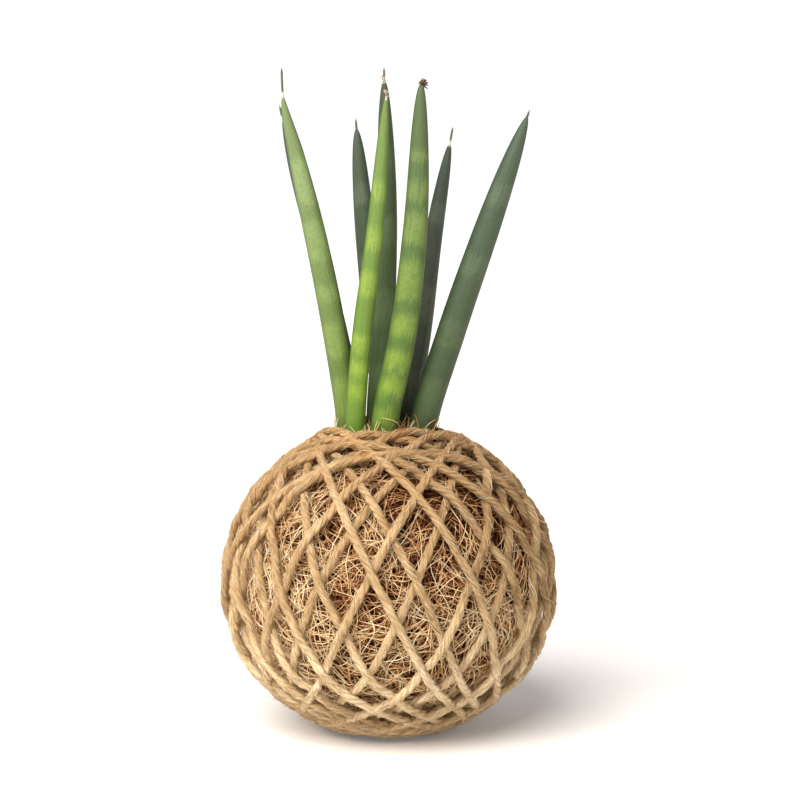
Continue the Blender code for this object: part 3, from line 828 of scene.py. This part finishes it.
shred_surface, tree, shader = start_material("dry_leaf_end", 0.8, 0.2)
paper = cloud(tree, object_place(tree), 1500.0, 3.0)
hue = plus(tree, attribute(tree, "shade"), spread(tree, paper, -0.15, 0.15))
shred_colour = colours(tree, hue, (0.0, (0.060, 0.032, 0.018)), (0.45, (0.330, 0.220, 0.140)),
                       (1.0, (0.800, 0.700, 0.580)))
finish_material(tree, shader, shred_colour, paper, 0.0001, 0.6)
chance = np.random.default_rng(97)
routes, shades = [], []
for place, count, lengths, lean, tones in SHREDS:
    routes.append(sprung_hairs(chance, count, place, SHRED_SPREAD, lean, SHRED_STRAY, SHRED_STRAY,
                               lengths))
    shades.append(chance.uniform(*tones, count))
shred_shades = np.concatenate(shades)
shreds = hair_piece("torn_leaf_ends", np.concatenate(routes), SHRED_THICKNESS, shred_shades,
                    np.zeros(len(shred_shades)), shred_surface)
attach(shreds, "root")


# ---------------------------------------------------------------- jute twine
# One strand of three-ply jute, about three millimetres thick, wound twenty-two times round the
# ball by hand, turning its heading each time. Its ends are tucked under the bottom.
TWINE_RADIUS = 0.0015
TWINE_WIDTH = 0.0040        # width over which two crossing strands rest on each other
TWINE_SEAT = 0.0006         # clearance under the first layer
TURN_SAMPLES = 120
TURN_BLEND = 0.18
BRIDGE_LENGTH = 0.0150
CROSSING_RISE = 0.0030
PILE_RISE = 0.0021
PILE_FROM = (0.72, 0.92)
HIGHEST_RISE = 0.0028
HIGHEST_PILE = 0.0030
TWINE_CLEARANCE = 0.0003
PLY_PITCH = 0.0115          # length over which a ply goes once round the strand
PLY_SIDEWAYS = 0.00057      # how far a ply's middle lies from the strand's middle
PLY_OUTWARDS = 0.00052
PLY_RADIUS = 0.00089
PLY_TOUCH = 0.92            # share of a ply's radius at which the loose fibres lie on it
PLY_STEP = 0.0010
PLY_SIDES = 8
LOOSE_LAYERS = (
    # name, how many, lengths, thickness, how far it lies off the strand, how far an end flies, seed
    ("jute_loose_fibres", 5200, (0.006, 0.020), 0.000085, 0.00010, 0.0006, 61),
    ("jute_flying_fibres", 3000, (0.003, 0.011), 0.000060, 0.00015, 0.0040, 67),
)
LOOSE_PITCH = 0.016         # a loose fibre winds round the strand more slowly than a ply
BARE_START = 0.01           # no loose fibres this near to the strand's two ends
BARE_END = 0.03
LOOSE_COLOURS = (
    (0.0, (0.420, 0.240, 0.100)), (0.4, (0.640, 0.440, 0.220)), (0.8, (0.840, 0.690, 0.440)),
)
JUTE_COLOURS = (
    (0.08, (0.230, 0.135, 0.062)), (0.34, (0.530, 0.385, 0.215)), (0.60, (0.740, 0.595, 0.385)),
    (0.90, (0.930, 0.840, 0.660)),
)
# Tones up the twine's height; the darker lowest stop is painted shade under the ball.
JUTE_HEIGHT_TONES_AND_SHADE = (
    (0.0, (0.70, 0.62, 0.52)), (0.14, (1.0, 0.97, 0.93)), (0.42, (0.77, 0.66, 0.53)),
    (0.65, (0.71, 0.58, 0.44)), (1.0, (0.68, 0.505, 0.350)),
)
# The colour of the painted shade that darkens the twine towards the upper right.
JUTE_PAINTED_SHADE = (0.55, 0.52, 0.50)
JUTE_BRIGHTNESS = 1.28
FIBRE_TWIST = -260.0        # radians per metre that the fibres wind round their ply

# Heading of each turn's rising side and its tilt, in degrees, in winding order.
TURNS = (
    (242, 66.7), (275, 65.8), (311, 64.5), (344, 61.0), (374, 66.8), (401, 68.4),
    (431, 65.0), (464, 65.8), (500, 66.0), (535, 69.2), (566, 69.7), (589, 67.4),
    (618, 65.2), (655, 63.6), (690, 65.3), (722, 63.8), (748, 67.0), (774, 64.9),
    (811, 64.2), (843, 68.4), (878, 65.1), (910, 61.2),
)


def turn_directions(samples):
    # Unit directions along the winding. Each turn is a tilted great circle that starts at the
    # bottom, and near the bottom it swings over to the heading of the next turn.
    turns = np.array(TURNS, dtype=float)
    along = np.arange(len(turns) * samples + 1) / samples
    number = np.minimum(along.astype(int), len(turns) - 1)
    share = along - number
    neighbour = np.clip(number + np.where(share > 0.5, 1, -1), 0, len(turns) - 1)
    away = 0.5 - 0.5 * smooth_step(np.minimum(share, 1.0 - share) / TURN_BLEND)
    mixed = turns[number] * (1.0 - away)[:, None] + turns[neighbour] * away[:, None]
    heading, tilt = np.radians(mixed).T
    angle = 2.0 * math.pi * share - 0.5 * math.pi
    level, back, up = np.cos(angle), np.sin(angle) * np.cos(tilt), np.sin(angle) * np.sin(tilt)
    east = np.cos(heading) * level - np.sin(heading) * back
    north = np.sin(heading) * level + np.cos(heading) * back
    return np.stack([east, north, up], axis=1)


def lay_turns(directions, samples):
    # Height of every point over the first layer: each turn is laid over the ones before it,
    # and slopes down to the ball on both sides of a crossing.
    places = ball_places(directions, TWINE_RADIUS)
    pile = ramp_up(np.abs(directions[:, 2]), PILE_FROM)
    rise = CROSSING_RISE + (PILE_RISE - CROSSING_RISE) * pile
    highest = HIGHEST_RISE + (HIGHEST_PILE - HIGHEST_RISE) * pile
    heights = np.zeros(len(places))
    spacing = 2.0 * math.pi * COIR_RADIUS / samples
    reach = int(BRIDGE_LENGTH / spacing)
    offsets = np.arange(-reach, reach + 1)
    slope = 0.5 + 0.5 * np.cos(math.pi * offsets / (reach + 1))
    for number in range(1, len(TURNS)):
        first = number * samples
        last = min(first + samples, len(places))
        below = first - samples // 6
        apart = np.linalg.norm(places[first:last, None] - places[None, :below], axis=2)
        contact = np.sqrt(np.clip(1.0 - (apart / TWINE_WIDTH) ** 2, 0.0, None))
        lifted = heights[None, :below] + rise[first:last, None] * contact
        needed = np.where(contact > 0.0, lifted, 0.0)
        needed = np.minimum(needed.max(axis=1), highest[first:last])
        for offset, weight in zip(offsets, slope):
            target = np.arange(first, last) + offset
            inside = target < len(places)
            np.maximum.at(heights, target[inside], needed[inside] * weight)
    return heights


def twine_route():
    # The strand's middle line as a curve, to run the plies and the loose fibres along.
    directions = turn_directions(TURN_SAMPLES)
    heights = lay_turns(directions, TURN_SAMPLES)
    route = ball_places(directions, (TWINE_RADIUS + TWINE_SEAT) + heights)
    route[:, 2] = np.maximum(route[:, 2], TWINE_RADIUS + TWINE_CLEARANCE)
    curve = bpy.data.curves.new("twine_route", 'CURVE')
    curve.dimensions = '3D'
    spline = curve.splines.new('POLY')
    spline.points.add(len(route) - 1)
    flat = np.concatenate([route, np.ones((len(route), 1))], axis=1)
    spline.points.foreach_set("co", flat.ravel())
    return curve


def beside_strand(tree, middle, tangent, length, phase, sideways, outwards, pitch):
    # A point that spirals round the strand's middle line.
    outward = on_ball(tree, middle, 0.0)[1]
    side = calc_vector(tree, 'NORMALIZE', calc_vector(tree, 'CROSS_PRODUCT', tangent, outward))
    turned = times(tree, plus(tree, calc(tree, 'DIVIDE', length, pitch), phase), 2.0 * math.pi)
    across = scale_vector(tree, side, times(tree, calc(tree, 'COSINE', turned), sideways))
    above = scale_vector(tree, outward, times(tree, calc(tree, 'SINE', turned), outwards))
    return calc_vector(tree, 'ADD', middle, calc_vector(tree, 'ADD', across, above))


def loose_tree():
    # Short fibres that have worked loose. Each lies along the strand, and one end flies off.
    tree, given = start_tree("jute_loose_fibres", fibres=100, shortest=0.01, longest=0.02,
                             thickness=0.0001, off_strand=0.0001, fly=0.001, first=0.0, last=1.0,
                             pitch=0.0115, seed=1, material=None)
    size = given.outputs
    seed = size["Seed"]
    starts = add_node(tree, "GeometryNodePoints", {"Count": size["Fibres"]})
    straight = add_node(tree, "GeometryNodeCurvePrimitiveLine",
                        {"Start": (0.0, 0.0, 0.0), "End": (1.0, 0.0, 0.0)})
    straight = add_node(tree, "GeometryNodeResampleCurve", {"Curve": straight, "Count": 7})
    hairs = add_node(tree, "GeometryNodeInstanceOnPoints", {"Points": starts, "Instance": straight})
    ranges = {"begin": (size["First"], size["Last"]), "reach": (size["Shortest"], size["Longest"]),
              "shade": (0.0, 1.0), "round": (0.0, 1.0), "wild": (0.0, 1.0)}
    for offset, (name, ends) in enumerate(ranges.items()):
        hairs = store(tree, hairs, name, random_number(tree, *ends, seed, offset), 'INSTANCE')
    hairs = add_node(tree, "GeometryNodeRealizeInstances", {"Geometry": hairs})
    share = add_node(tree, "GeometryNodeSplineParameter").outputs["Factor"]
    begin, reach, around, wild = (named(tree, name)
                                  for name in ("begin", "reach", "round", "wild"))
    along = plus(tree, begin, times(tree, reach, share))
    rounded = add_node(tree, "GeometryNodeCurveSplineType", {"Curve": size["Geometry"]},
                       spline_type='CATMULL_ROM')
    strand = add_node(tree, "GeometryNodeSampleCurve", {"Curves": rounded, "Length": along},
                      mode='LENGTH').outputs
    flown = times(tree, calc(tree, 'POWER', share, 2.0), calc(tree, 'POWER', wild, 3.0))
    flown = times(tree, flown, size["Fly"])
    off = plus(tree, size["Off strand"], flown)
    across = plus(tree, off, PLY_SIDEWAYS + PLY_RADIUS * PLY_TOUCH)
    above = plus(tree, off, PLY_OUTWARDS + PLY_RADIUS * PLY_TOUCH)
    spot = beside_strand(tree, strand["Position"], strand["Tangent"], along, around, across, above,
                         size["Pitch"])
    own_space = calc_vector(tree, 'ADD', spot, vector_of(tree, times(tree, wild, 40.0)))
    sway = cloud(tree, own_space, 260.0, 1.0).outputs["Color"]
    sway = calc_vector(tree, 'SUBTRACT', sway, (0.5, 0.5, 0.5))
    sway = scale_vector(tree, sway, plus(tree, 0.0005, flown))
    spot = calc_vector(tree, 'MAXIMUM', calc_vector(tree, 'ADD', spot, sway), ABOVE_FLOOR)
    hairs = add_node(tree, "GeometryNodeSetPosition", {"Geometry": hairs, "Position": spot})
    hairs = store(tree, hairs, "along", along)
    end_tree(tree, given, hair_tube(tree, hairs, share, (size["Thickness"],)))
    return tree


def ply_tree():
    # One ply: a lumpy tube that spirals round the strand's middle line.
    tree, given = start_tree("jute_ply", phase=0.0, pitch=0.02, sideways=0.001, outwards=0.001,
                             thickness=0.001, step=0.0014, sides=8, material=None)
    size = given.outputs
    rounded = add_node(tree, "GeometryNodeCurveSplineType", {"Curve": size["Geometry"]},
                       spline_type='CATMULL_ROM')
    line = add_node(tree, "GeometryNodeResampleCurve", {"Curve": rounded, "Length": size["Step"]},
                    mode='LENGTH')
    along = add_node(tree, "GeometryNodeSplineParameter").outputs["Length"]
    line = store(tree, line, "along", along)
    middle = add_node(tree, "GeometryNodeInputPosition")
    tangent = add_node(tree, "GeometryNodeInputTangent")
    slack = spread(tree, cloud(tree, middle, 60.0, 1.0), -0.16, 0.16)
    spot = beside_strand(tree, middle, tangent, along, plus(tree, size["Phase"], slack),
                         size["Sideways"], size["Outwards"], size["Pitch"])
    line = add_node(tree, "GeometryNodeSetPosition", {"Geometry": line, "Position": spot})
    section = add_node(tree, "GeometryNodeCurvePrimitiveCircle",
                       {"Resolution": size["Sides"], "Radius": 1.0})
    section = store(tree, section, "around", middle, kind='FLOAT_VECTOR')
    lumpy = spread(tree, cloud(tree, middle, 210.0, 2.0), 0.86, 1.16)
    ply = add_node(tree, "GeometryNodeCurveToMesh",
                   {"Curve": line, "Profile Curve": section,
                    "Scale": times(tree, size["Thickness"], lumpy), "Fill Caps": True})
    end_tree(tree, given, ply)
    return tree


jute_surface, tree, shader = start_material("jute_twine", 0.8, 0.25)
place = object_place(tree)
along = attribute(tree, "along")
twisted = add_node(tree, "ShaderNodeVectorRotate",
                   {"Vector": attribute(tree, "around", 'Vector'), "Axis": (0.0, 0.0, 1.0),
                    "Angle": times(tree, along, FIBRE_TWIST)}, rotation_type='AXIS_ANGLE')
fibre_space = calc_vector(tree, 'ADD', scale_vector(tree, twisted, 0.001),
                          vector_of(tree, z=times(tree, along, 0.09)))
streaks = cloud(tree, fibre_space, 4200.0, 3.0, 0.65)
hanks = cloud(tree, fibre_space, 1300.0, 2.0)
wear = cloud(tree, place, 24.0, 2.0)
long_patches = cloud(tree, fibre_space, 150.0, 1.0)
tone = plus(tree, span(tree, streaks, 0.25, 0.75, -0.02, 0.62), spread(tree, hanks, -0.02, 0.38),
            spread(tree, wear, -0.12, 0.12), spread(tree, long_patches, -0.14, 0.16))
# Darker at the very bottom as painted shade, palest just above it, darker and redder towards
# the top, and darker towards the upper right as painted shade.
height = span(tree, part_of(tree, place, "Z"), 0.010, 0.110)
# Painted shade towards the right, strongest high up.
painted_shade = times(tree, span(tree, part_of(tree, place, "X"), 0.000, 0.040, 0.0, 0.9),
             span(tree, part_of(tree, place, "Z"), 0.030, 0.100, 0.45, 1.0))
jute_colour = mix_colour(tree, 1.0, colours(tree, tone, *JUTE_COLOURS),
                         colours(tree, height, *JUTE_HEIGHT_TONES_AND_SHADE), 'MULTIPLY')
jute_colour = mix_colour(tree, painted_shade, jute_colour, JUTE_PAINTED_SHADE, 'MULTIPLY')
jute_colour = scale_vector(tree, jute_colour.outputs[2], JUTE_BRIGHTNESS)
finish_material(tree, shader, jute_colour, streaks, 0.00050, 1.0, spread(tree, hanks, 0.7, 0.92))

route = twine_route()
ply_growth = ply_tree()
for number in range(3):
    ply = grow(f"jute_twine_ply_{number + 1}", ply_growth, route.copy(), jute_surface,
               phase=number / 3.0, pitch=PLY_PITCH, sideways=PLY_SIDEWAYS, outwards=PLY_OUTWARDS,
               thickness=PLY_RADIUS, step=PLY_STEP, sides=PLY_SIDES)
    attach(ply, "root")
    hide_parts("jute_twine")

loose_surface, tree, shader = start_material("loose_jute", 0.6, 0.4)
place = object_place(tree)
hue = plus(tree, attribute(tree, "shade"), spread(tree, cloud(tree, place, 300.0, 2.0), -0.2, 0.2))
finish_material(tree, shader, colours(tree, hue, *LOOSE_COLOURS), cloud(tree, place, 3000.0, 2.0),
                0.00005, 0.4)
route_length = route.splines[0].calc_length()
loose_growth = loose_tree()
for name, count, lengths, thickness, off_strand, fly, seed in LOOSE_LAYERS:
    hairs = grow(name, loose_growth, route.copy(), loose_surface, fibres=count,
                 shortest=lengths[0], longest=lengths[1], thickness=thickness,
                 off_strand=off_strand, fly=fly, first=BARE_START, last=route_length - BARE_END,
                 pitch=LOOSE_PITCH, seed=seed)
    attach(hairs, "root")


# The strand is frayed where it crosses itself high on the right: a small tuft sticks up.
TUFT_PLACE = (0.0343, -0.0262, 0.0868)
TUFT_HAIRS = 34
TUFT_SPREAD = 0.0012
TUFT_LEAN = (-0.55, -0.62, 0.75)
TUFT_LENGTHS = (0.0020, 0.0062)
TUFT_THICKNESS = 0.00010

chance = np.random.default_rng(83)
tuft_routes = sprung_hairs(chance, TUFT_HAIRS, TUFT_PLACE, TUFT_SPREAD, TUFT_LEAN, 0.75, 0.5,
                           TUFT_LENGTHS)
tuft = hair_piece("jute_tuft", tuft_routes, TUFT_THICKNESS, chance.random(TUFT_HAIRS),
                  np.zeros(TUFT_HAIRS), loose_surface)
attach(tuft, "root")


# ---------------------------------------------------------------- studio
# A white floor, one broad soft light from the upper front left, and the camera.
CAMERA_PLACE = (0.0039, -0.75, 0.1932)
CAMERA_TILT = 84.18
CAMERA_LENS = 96.6
KEY_ELEVATION = 46.0
KEY_HEADING = 31.0          # degrees to the left of straight ahead
KEY_STRENGTH = 4.2
KEY_SPREAD = 48.0           # degrees across, which makes the shadow's edge soft
AMBIENT = 0.34
BACKDROP = 1.1
FLOOR_REACH = 6.0
FLOOR_GLOW = 0.12

floor_surface, tree, shader = start_material("white_floor", 0.8, 0.1)
speck = cloud(tree, object_place(tree), 6.0, 2.0)
floor_colour = colours(tree, speck, (0.3, (0.955, 0.910, 0.870)), (0.7, (0.965, 0.920, 0.880)))
finish_material(tree, shader, floor_colour, speck, 0.0001, 0.2)
shader.inputs["Emission Color"].default_value = (1.0, 1.0, 1.0, 1.0)
shader.inputs["Emission Strength"].default_value = FLOOR_GLOW
floor_corners = [(FLOOR_REACH * x, FLOOR_REACH * y, 0.0)
                 for x, y in ((-1, -1), (1, -1), (1, 1), (-1, 1))]
floor = mesh_piece("floor", floor_corners, [(0, 1, 2, 3)], floor_surface)

world = bpy.data.worlds.new("studio")
bpy.context.scene.world = world
world.use_nodes = True
tree = world.node_tree
background = tree.nodes["Background"]
background.inputs["Color"].default_value = (1.0, 1.0, 1.0, 1.0)
seen = add_node(tree, "ShaderNodeLightPath").outputs["Is Camera Ray"]
brightness = span(tree, seen, 0.0, 1.0, AMBIENT, BACKDROP)
tree.links.new(brightness.outputs[0], background.inputs["Strength"])

key_light = bpy.data.lights.new("key", 'SUN')
key_light.energy = KEY_STRENGTH
key_light.angle = math.radians(KEY_SPREAD)
key_light.color = (1.0, 0.985, 0.96)
key = bpy.data.objects.new("key", key_light)
level, heading = math.radians(KEY_ELEVATION), math.radians(KEY_HEADING)
towards = Vector((-math.sin(heading) * math.cos(level), -math.cos(heading) * math.cos(level),
                  math.sin(level)))
key.rotation_euler = towards.to_track_quat('Z', 'Y').to_euler()
bpy.context.scene.collection.objects.link(key)

camera_data = bpy.data.cameras.new("camera")
camera_data.lens = CAMERA_LENS
camera_data.clip_start = 0.01
camera = bpy.data.objects.new("camera", camera_data)
camera.location = CAMERA_PLACE
camera.rotation_euler = (math.radians(CAMERA_TILT), 0.0, 0.0)
bpy.context.scene.collection.objects.link(camera)
bpy.context.scene.camera = camera
bpy.context.scene.view_settings.view_transform = 'Standard'
